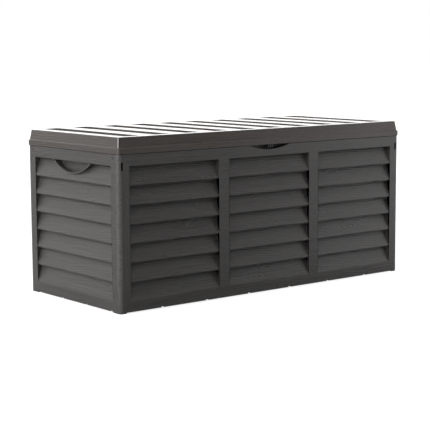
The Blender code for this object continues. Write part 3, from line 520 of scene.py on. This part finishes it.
class BoxSizes(bpy.types.PropertyGroup):
    frame_edge: bpy.props.FloatProperty(
        name="Frame edge",
        description="Rounding of the stile and rail edges",
        default=1.4 * MM,
        min=0.0,
        unit="LENGTH",
    )
    slat_share: bpy.props.FloatProperty(
        name="Slat share",
        description="Share of the frame rounding that a slat's edge gets",
        default=0.4,
        subtype="FACTOR",
    )
    lid_edge: bpy.props.FloatProperty(
        name="Lid edge",
        description="Rounding of the lid's edges",
        default=1.2 * MM,
        min=0.0,
        unit="LENGTH",
    )
    hardware_edge: bpy.props.FloatProperty(
        name="Hardware edge",
        description="Rounding of hinges and lock parts",
        default=0.4 * MM,
        min=0.0,
        unit="LENGTH",
    )
    rib_wall: bpy.props.FloatProperty(
        name="Rib wall",
        description="Thickness of the stiffening ribs",
        default=2.2 * MM,
        min=0.0,
        unit="LENGTH",
    )
    rib_pitch: bpy.props.FloatProperty(
        name="Rib pitch",
        description="Distance between stiffening ribs",
        default=62 * MM,
        min=0.0,
        unit="LENGTH",
    )
    tread_pitch: bpy.props.FloatProperty(
        name="Tread pitch",
        description="Distance between the floor's raised pads",
        default=26 * MM,
        unit="LENGTH",
    )
    tread_height: bpy.props.FloatProperty(
        name="Tread height",
        description="Height of the floor's raised pads",
        default=0.9 * MM,
        unit="LENGTH",
    )


class BoxColours(bpy.types.PropertyGroup):
    panel: bpy.props.FloatVectorProperty(
        name="Panels",
        description="Wall panels",
        default=linear("#333130"),
        size=4,
        subtype="COLOR",
    )
    lid: bpy.props.FloatVectorProperty(
        name="Lid",
        description="Lid",
        default=linear("#352f2b"),
        size=4,
        subtype="COLOR",
    )
    floor: bpy.props.FloatVectorProperty(
        name="Floor",
        description="Floor panels",
        default=linear("#2a2a2a"),
        size=4,
        subtype="COLOR",
    )
    fittings: bpy.props.FloatVectorProperty(
        name="Fittings",
        description="Lock parts and corner screws",
        default=linear("#2c2c2c"),
        size=4,
        subtype="COLOR",
    )
    hinges: bpy.props.FloatVectorProperty(
        name="Hinges",
        description="Hinge leaves",
        default=linear("#232324"),
        size=4,
        subtype="COLOR",
    )


# ---------------------------------------------------------------- pieces


def sort_faces(piece, wide, windows):
    """Gives slats and rails grain along the panel, stiles and mullions upright grain, and corners none."""
    outer = 1 - wide
    reach = max(abs(vertex.co[outer]) for vertex in piece.data.vertices)
    for face in piece.data.polygons:
        across = face.center[wide]
        upright = SLAT_BOTTOM < face.center.z < SLAT_TOP and abs(face.center[outer]) > reach - FACE_BAND
        in_window = any(low < across < high for low, high in windows)
        if wide == 0 and abs(across) > HALF_LENGTH - CORNER_STRIP:
            face.material_index = 2
        elif upright and not in_window:
            face.material_index = 1


class BOX_OT_panels(bpy.types.Operator):
    """Round and grain the four louvred wall panels"""

    bl_idname = "deck_box.panels"
    bl_label = "Wall panels"

    def execute(self, context):
        sizes = context.scene.deck_box_sizes
        colour = tuple(context.scene.deck_box_colours.panel)
        slats = (SLAT_BOTTOM, SLAT_PITCH)
        along = grained_plastic("grained_polypropylene_length", colour, "length", slats, 0.9 * MM, 0.42)
        deep = grained_plastic("grained_polypropylene_depth", colour, "depth", slats, 0.9 * MM, 0.42)
        posts = (-1.0, 0.1)
        upright = grained_plastic("grained_polypropylene_upright", colour, "upright", posts, 0.5 * MM, 0.42)
        corner = smooth_plastic("polished_polypropylene_corner", colour, 0.26, 0.05 * MM, 1.0)
        step = WINDOW + MULLION
        centres = (-step, 0.0, step)
        long_windows = [(centre - WINDOW / 2, centre + WINDOW / 2) for centre in centres]
        side_reach = SIDE_HIGH.y - SIDE_STILE
        for name in LONG_PANELS + SIDE_PANELS:
            wide = 0 if name in LONG_PANELS else 1
            outer = 1 - wide
            low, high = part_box(name)
            face = max(abs(low[outer]), abs(high[outer]))
            piece = merged_copy(name, f"{name}_moulding")

            def weight(edge):
                blunt = edge.calc_face_angle(0.0) < BLUNT_BELOW
                on_face = all(abs(abs(vertex.co[outer]) - face) < FACE_TOLERANCE for vertex in edge.verts)
                return 1.0 if on_face and not blunt else sizes.slat_share

            round_edges(piece, sizes.frame_edge, 3, weight)
            dress(piece, deep if wide else along, upright, corner)
            sort_faces(piece, wide, [(-side_reach, side_reach)] if wide else long_windows)
            hand_over(piece, BODY, [name])
        return {"FINISHED"}


class BOX_OT_wall_ribs(bpy.types.Operator):
    """Stand stiffening ribs in the hollow backs of the top rails"""

    bl_idname = "deck_box.wall_ribs"
    bl_label = "Wall ribs"

    def execute(self, context):
        sizes = context.scene.deck_box_sizes
        colour = tuple(context.scene.deck_box_colours.panel)
        plastic = smooth_plastic("polypropylene_rib", colour, 0.45, 0.05 * MM)
        low = SLAT_TOP + PANEL_WALL
        height = BODY_TOP - PANEL_WALL - low
        depth = PANEL_THICKNESS - PANEL_WALL
        end = HALF_LENGTH - LONG_STILE
        centres = (-HINGE_PITCH, 0.0, HINGE_PITCH)
        hinge_edges = [side * HINGE_HALF + centre for centre in centres for side in (-1, 1)]
        rear_edges = [-end, *hinge_edges, end]
        stretches = [(-1, -end, -LATCH_HALF), (-1, LATCH_HALF, end)]
        stretches += [(1, left, right) for left, right in zip(rear_edges[::2], rear_edges[1::2])]
        rows = []
        for side, left, right in stretches:
            count = max(1, round((right - left) / sizes.rib_pitch) - 1)
            gap = (right - left) / (count + 1)
            middle = side * (HALF_DEPTH - PANEL_WALL - depth / 2)
            rows.append(
                {
                    "Columns": count,
                    "Rows": 1,
                    "Span": (gap * (count - 1), 0.0, 0.0),
                    "Centre": ((left + right) / 2, middle, low + height / 2),
                    "Rib": (sizes.rib_wall, depth, height),
                }
            )
        ribs = grow("wall_rail_ribs", rib_tree(), rows, plastic)
        hand_over(ribs, BODY)
        return {"FINISHED"}


class BOX_OT_lid(bpy.types.Operator):
    """Round the lid's edges and give it its brushed grain"""

    bl_idname = "deck_box.lid"
    bl_label = "Lid"

    def execute(self, context):
        sizes = context.scene.deck_box_sizes
        colour = tuple(context.scene.deck_box_colours.lid)
        piece = merged_copy("lid", "lid_moulding")
        round_edges(piece, sizes.lid_edge, 3)
        skirt = (LID_LOW.z, LID_HIGH.z)
        front = grained_plastic("grained_lid_polypropylene_length", colour, "length", skirt, 0.7 * MM, 0.40)
        side = grained_plastic("grained_lid_polypropylene_depth", colour, "depth", skirt, 0.7 * MM, 0.40)
        strips = (STRIP_WIDTH / 2, STRIP_PITCH / 2)
        top = grained_plastic("grained_lid_polypropylene_top", colour, "top", strips, 0.3 * MM, 0.24)
        edge = smooth_plastic("polished_lid_polypropylene_corner", colour, 0.26, 0.05 * MM, 1.0)
        dress(piece, front, side, top, edge)
        for face in piece.data.polygons:
            if min(abs(face.normal.x), abs(face.normal.y)) > 0.2:
                face.material_index = 3
            elif abs(face.normal.z) > 0.6:
                face.material_index = 2
            elif abs(face.normal.x) > abs(face.normal.y):
                face.material_index = 1
        hand_over(piece, LID, ["lid"])
        return {"FINISHED"}


class BOX_OT_lid_ribs(bpy.types.Operator):
    """Cross the channels under the lid with stiffening ribs"""

    bl_idname = "deck_box.lid_ribs"
    bl_label = "Lid ribs"

    def execute(self, context):
        sizes = context.scene.deck_box_sizes
        colour = tuple(context.scene.deck_box_colours.lid)
        plastic = smooth_plastic("lid_polypropylene_rib", colour, 0.45, 0.05 * MM)
        low = LID_HIGH.z - STRIP_DEPTH - LID_WALL
        height = STRIP_DEPTH
        front = LID_LOW.y + LID_RIB_FRONT
        rear = LID_HIGH.y - LID_RIB_REAR
        count = round((rear - front) / sizes.rib_pitch)
        row = {
            "Columns": STRIP_COUNT - 1,
            "Rows": count,
            "Span": (STRIP_PITCH * (STRIP_COUNT - 2), rear - front, 0.0),
            "Centre": (0.0, (front + rear) / 2, low + height / 2),
            "Rib": (STRIP_PITCH - STRIP_WIDTH - 2 * LID_WALL, sizes.rib_wall, height),
        }
        ribs = grow("lid_channel_ribs", rib_tree(), [row], plastic)
        hand_over(ribs, LID)
        return {"FINISHED"}


def tread_pad(height):
    """One raised pad: a low lozenge with sloping sides."""
    mesh = bmesh.new()
    rings = []
    for share, rise in ((1.0, 0.0), (0.8, 0.7), (0.5, 1.0)):
        long_half, wide_half = share * PAD_LENGTH / 2, share * PAD_WIDTH / 2
        turns = [2 * math.pi * index / PAD_SIDES for index in range(PAD_SIDES)]
        outline = [(long_half * math.cos(turn), wide_half * math.sin(turn)) for turn in turns]
        rings.append([mesh.verts.new((x, y, rise * height)) for x, y in outline])
    skin_rings(mesh, rings)
    return link_mesh("tread_pad", mesh)


class BOX_OT_floor(bpy.types.Operator):
    """Round the two floor panels and raise their anti-slip tread"""

    bl_idname = "deck_box.floor"
    bl_label = "Floor panels"

    def execute(self, context):
        sizes = context.scene.deck_box_sizes
        colour = tuple(context.scene.deck_box_colours.floor)
        plastic = smooth_plastic("polypropylene_floor", colour, 0.5, 0.1 * MM)
        pad = tread_pad(sizes.tread_height)
        rows = []
        for name in ("left_floor", "right_floor"):
            piece = merged_copy(name, f"{name}_moulding")
            round_edges(piece, sizes.hardware_edge, 2)
            dress(piece, plastic)
            hand_over(piece, BODY, [name])
            low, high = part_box(name)
            side = 1 if high.x > 0.1 else -1
            length = FLOOR_HIGH.x - FLOOR_LOW.x - 2 * TREAD_BORDER
            depth = FLOOR_HIGH.y - FLOOR_LOW.y - 2 * TREAD_BORDER
            # Odd counts both ways make the pads alternate like a chequerboard.
            columns = 2 * round(length / sizes.tread_pitch / 2) + 1
            lines = 2 * round(depth / sizes.tread_pitch / 2) + 1
            rows.append(
                {
                    "Columns": columns,
                    "Rows": lines,
                    "Span": (length, depth, 0.0),
                    "Centre": (side * (FLOOR_LOW.x + FLOOR_HIGH.x - TAB_REACH) / 2, 0.0, high.z - PAD_SINK),
                    "Pad": pad,
                }
            )
        tread = grow("floor_tread", tread_tree(), rows, plastic)
        bpy.data.objects.remove(pad)
        hand_over(tread, BODY)
        return {"FINISHED"}


class BOX_OT_fittings(bpy.types.Operator):
    """Finish the hinges, the lock tongue, its keeper and the hinge pins"""

    bl_idname = "deck_box.fittings"
    bl_label = "Hinges and lock"

    def execute(self, context):
        sizes = context.scene.deck_box_sizes
        colours = context.scene.deck_box_colours
        nylon = smooth_plastic("glass_filled_nylon", tuple(colours.hinges), 0.42, 0.08 * MM)
        plastic = smooth_plastic("satin_polypropylene_lock", tuple(colours.fittings), 0.4, 0.05 * MM)
        steel = zinc_plated_steel("zinc_plated_steel_pin")
        rounded = {
            "lid_hasp": (LID, "black_plastic", plastic),
            "padlock_keeper": (BODY, "black_plastic", plastic),
        }
        for hinge in HINGES:
            rounded[f"{hinge}_hinge_body_leaf"] = (BODY, "hinge_nylon", nylon)
            rounded[f"{hinge}_hinge_lid_leaf"] = (LID, "hinge_nylon", nylon)
            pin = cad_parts[f"{hinge}_hinge_pin"]
            for slot in pin.material_slots:
                slot.material = steel
        for name, (body, slot, material) in rounded.items():
            piece = merged_copy(name, f"{name}_moulding")
            round_edges(piece, sizes.hardware_edge, 2)
            dress(piece, material)
            hand_over(piece, body, [name])
        return {"FINISHED"}


def crossed_screw():
    """A screw with a domed head and a cross recess, its head's seat at the origin and its head up."""
    mesh = bmesh.new()
    profile = [(SCREW_SHANK_RADIUS, -SCREW_SHANK_LENGTH), (SCREW_SHANK_RADIUS, 0.0), (SCREW_HEAD_RADIUS, 0.0)]
    for step in range(1, DOME_STEPS):
        turn = math.pi / 2 * step / DOME_STEPS
        profile.append((SCREW_HEAD_RADIUS * math.cos(turn), SCREW_HEAD_HEIGHT * math.sin(turn)))
    turns = [2 * math.pi * index / SCREW_SIDES for index in range(SCREW_SIDES)]
    rings = []
    for radius, height in profile:
        ring = [(radius * math.cos(turn), radius * math.sin(turn), height) for turn in turns]
        rings.append([mesh.verts.new(place) for place in ring])
    skin_rings(mesh, rings)
    screw = link_mesh("crossed_screw", mesh)
    recess = bmesh.new()
    middle = Matrix.Translation((0, 0, SCREW_HEAD_HEIGHT + CROSS_RISE))
    depth = 2 * (CROSS_DEPTH + CROSS_RISE)
    for half_x, half_y in ((CROSS_REACH, CROSS_HALF_WIDTH), (CROSS_HALF_WIDTH, CROSS_REACH)):
        size = Matrix.Diagonal((2 * half_x, 2 * half_y, depth, 1.0))
        bmesh.ops.create_cube(recess, size=1.0, matrix=middle @ size)
    cutter = link_mesh("cross_recess", recess)
    cut = screw.modifiers.new("recess", "BOOLEAN")
    cut.operation = "DIFFERENCE"
    cut.solver = "EXACT"
    cut.use_self = True
    cut.object = cutter
    bake(screw)
    bpy.data.objects.remove(cutter)
    return screw


def screw_points(nodes):
    """A mesh with one point at each screw's seat, and an arrow that says which way its head faces."""
    places = []
    arrows = []
    for node in nodes:
        low, high = (Vector(corner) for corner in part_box(node))
        centre = (low + high) / 2
        axis = max(range(3), key=lambda index: high[index] - low[index])
        sign = 1 if centre[axis] > 0 else -1
        outside = high[axis] if sign > 0 else low[axis]
        centre[axis] = outside - sign * SCREW_HEAD_HEIGHT
        arrow = Vector((0.0, 0.0, 0.0))
        arrow[axis] = sign
        places.append(centre)
        arrows.append(arrow)
    data = bpy.data.meshes.new("screw_points")
    data.from_pydata(places, [], [])
    outward = data.attributes.new("outward", "FLOAT_VECTOR", "POINT")
    for item, arrow in zip(outward.data, arrows):
        item.vector = arrow
    points = bpy.data.objects.new("screw_points", data)
    bpy.context.scene.collection.objects.link(points)
    return points


class BOX_OT_screws(bpy.types.Operator):
    """Drive the hinge screws and the corner screws"""

    bl_idname = "deck_box.screws"
    bl_label = "Screws"

    def execute(self, context):
        steel = zinc_plated_steel("zinc_plated_steel_screw")
        colour = tuple(context.scene.deck_box_colours.fittings)
        black = smooth_plastic("black_coated_screw", colour, 0.4, 0.03 * MM)
        box_screws = [f"{hinge}_body_screw_{end}" for hinge in HINGES for end in "ab"]
        lid_screws = [f"{hinge}_lid_screw_{end}" for hinge in HINGES for end in "ab"]
        corners = [f"{end}_{side}_corner_screw" for end in ("front", "rear") for side in ("left", "right")]
        tree = screw_tree()
        screw = crossed_screw()
        groups = (
            ("box_hinge_screws", BODY, "steel", box_screws, steel, 3),
            ("lid_hinge_screws", LID, "steel", lid_screws, steel, 5),
            ("corner_screws", BODY, "black_plastic", corners, black, 7),
        )
        for name, body, slot, nodes, material, seed in groups:
            values = {"Screw": screw, "Size": 1.0, "Seed": seed}
            piece = grow(name, tree, [values], material, screw_points(nodes))
            hand_over(piece, body, nodes)
        bpy.data.objects.remove(screw)
        return {"FINISHED"}


class BOX_OT_studio(bpy.types.Operator):
    """Set the floor, the soft studio light and the camera"""

    bl_idname = "deck_box.studio"
    bl_label = "Studio"

    def execute(self, context):
        self.add_floor()
        self.add_room(context.scene)
        self.add_softbox(context.scene)
        self.add_camera(context.scene)
        context.scene.view_settings.view_transform = "Standard"
        return {"FINISHED"}

    def add_floor(self):
        """A wide matt floor: paper-white where it is seen, and a quieter grey in what the box mirrors."""
        mesh = bmesh.new()
        bmesh.ops.create_grid(
            mesh, x_segments=1, y_segments=1, size=FLOOR_REACH, matrix=Matrix.Translation((0, 0, -0.5 * MM))
        )
        floor = link_mesh("studio_floor", mesh)
        made, tree, shader = new_material("matt_white_floor")
        seen = add_node(tree, "ShaderNodeLightPath").outputs["Is Camera Ray"]
        shader.inputs["Base Color"].default_value = linear("#bcbcbc")
        shader.inputs["Roughness"].default_value = 1.0
        shader.inputs["Specular IOR Level"].default_value = 0.0
        shader.inputs["Emission Color"].default_value = (1.0, 1.0, 1.0, 1.0)
        glow = add_node(tree, "ShaderNodeMapRange", {"Value": seen, 3: 0.0, 4: 0.72}).outputs[0]
        tree.links.new(glow, shader.inputs["Emission Strength"])
        dress(floor, made)

    def add_room(self, scene):
        """A white room that is bright behind and at the left, and dim where the front mirrors it."""
        world = bpy.data.worlds.new("soft_studio")
        scene.world = world
        world.use_nodes = True
        tree = world.node_tree
        background = tree.nodes["Background"]
        direction = add_node(tree, "ShaderNodeTexCoord").outputs["Generated"]
        axes = add_node(tree, "ShaderNodeSeparateXYZ", {0: direction})
        backwards = {0: axes.outputs["Y"], 1: -1.0}
        away = add_node(tree, "ShaderNodeMath", backwards, operation="MULTIPLY").outputs[0]
        sides = {0: axes.outputs["X"], 1: away}
        turn = add_node(tree, "ShaderNodeMath", sides, operation="ARCTAN2").outputs[0]
        around = add_node(tree, "ShaderNodeMapRange", {"Value": turn, 1: -math.pi, 2: math.pi}).outputs[0]
        ramp = add_node(tree, "ShaderNodeValToRGB", {0: around})
        ramp.color_ramp.interpolation = "EASE"
        stops = ramp.color_ramp.elements
        while len(stops) < len(ROOM):
            stops.new(1.0)
        for stop, (degrees, strength) in zip(stops, ROOM):
            stop.position = degrees / 360 + 0.5
            stop.color = (*[strength / ROOM_PEAK] * 3, 1.0)
        wall = add_node(
            tree, "ShaderNodeMath", {0: ramp.outputs[0], 1: ROOM_PEAK}, operation="MULTIPLY"
        ).outputs[0]
        height = {"Value": axes.outputs["Z"], 1: 0.50, 2: 0.90}
        high = add_node(tree, "ShaderNodeMapRange", height, interpolation_type="SMOOTHSTEP").outputs[0]
        lit = add_node(tree, "ShaderNodeMix", {0: high, 2: wall, 3: CEILING}, data_type="FLOAT").outputs[0]
        seen = add_node(tree, "ShaderNodeLightPath").outputs["Is Camera Ray"]
        strength = add_node(tree, "ShaderNodeMix", {0: seen, 2: lit, 3: 1.0}, data_type="FLOAT").outputs[0]
        tree.links.new(strength, background.inputs["Strength"])
        background.inputs["Color"].default_value = (1.0, 1.0, 1.0, 1.0)

    def add_softbox(self, scene):
        """A tall softbox off the box's front right corner, which brightens that end of the front."""
        data = bpy.data.lights.new("right_softbox", "AREA")
        data.shape = "RECTANGLE"
        data.size, data.size_y = SOFTBOX_SIZE
        data.energy = SOFTBOX_RADIANCE * math.pi * data.size * data.size_y
        softbox = bpy.data.objects.new("right_softbox", data)
        ahead = (Vector((HALF_LENGTH, -HALF_DEPTH, SOFTBOX_AIM)) - SOFTBOX_PLACE).normalized()
        turn = ahead.to_track_quat("-Z", "Y").to_matrix().to_4x4()
        softbox.matrix_world = Matrix.Translation(SOFTBOX_PLACE) @ turn
        softbox.visible_camera = False
        scene.collection.objects.link(softbox)

    def add_camera(self, scene):
        """Eye level a little above the lid, turned to show the front and the left side."""
        level = math.cos(CAMERA_PITCH)
        ahead = (math.sin(CAMERA_YAW) * level, math.cos(CAMERA_YAW) * level, -math.sin(CAMERA_PITCH))
        ahead = Vector(ahead)
        right = Vector((math.cos(CAMERA_YAW), -math.sin(CAMERA_YAW), 0.0))
        up = right.cross(ahead)
        right_rolled = math.cos(CAMERA_ROLL) * right + math.sin(CAMERA_ROLL) * up
        up_rolled = math.cos(CAMERA_ROLL) * up - math.sin(CAMERA_ROLL) * right
        data = bpy.data.cameras.new("product_camera")
        data.sensor_width = CAMERA_SENSOR
        data.lens = CAMERA_LENS
        camera = bpy.data.objects.new("product_camera", data)
        turn = Matrix((right_rolled, up_rolled, -ahead)).transposed().to_4x4()
        camera.matrix_world = Matrix.Translation(CAMERA_PLACE) @ turn
        scene.collection.objects.link(camera)
        scene.camera = camera


class BOX_PT_sidebar(bpy.types.Panel):
    bl_label = "Deck box"
    bl_idname = "BOX_PT_sidebar"
    bl_space_type = "VIEW_3D"
    bl_region_type = "UI"
    bl_category = "Deck box"

    def draw(self, context):
        for group in (context.scene.deck_box_sizes, context.scene.deck_box_colours):
            for key in group.bl_rna.properties.keys():
                if key not in ("rna_type", "name"):
                    self.layout.prop(group, key)
        for step in STEPS:
            self.layout.operator(step.bl_idname)


STEPS = (
    BOX_OT_studio,
    BOX_OT_panels,
    BOX_OT_wall_ribs,
    BOX_OT_lid,
    BOX_OT_lid_ribs,
    BOX_OT_floor,
    BOX_OT_fittings,
    BOX_OT_screws,
)
CLASSES = (BoxSizes, BoxColours, *STEPS, BOX_PT_sidebar)


def register():
    for item in CLASSES:
        bpy.utils.register_class(item)
    bpy.types.Scene.deck_box_sizes = bpy.props.PointerProperty(type=BoxSizes)
    bpy.types.Scene.deck_box_colours = bpy.props.PointerProperty(type=BoxColours)


def unregister():
    del bpy.types.Scene.deck_box_colours
    del bpy.types.Scene.deck_box_sizes
    for item in reversed(CLASSES):
        bpy.utils.unregister_class(item)


def main():
    register()
    bpy.ops.deck_box.studio()
    bpy.ops.deck_box.panels()
    bpy.ops.deck_box.wall_ribs()
    bpy.ops.deck_box.lid()
    bpy.ops.deck_box.lid_ribs()
    bpy.ops.deck_box.floor()
    bpy.ops.deck_box.fittings()
    bpy.ops.deck_box.screws()


if __name__ == "__main__":
    main()
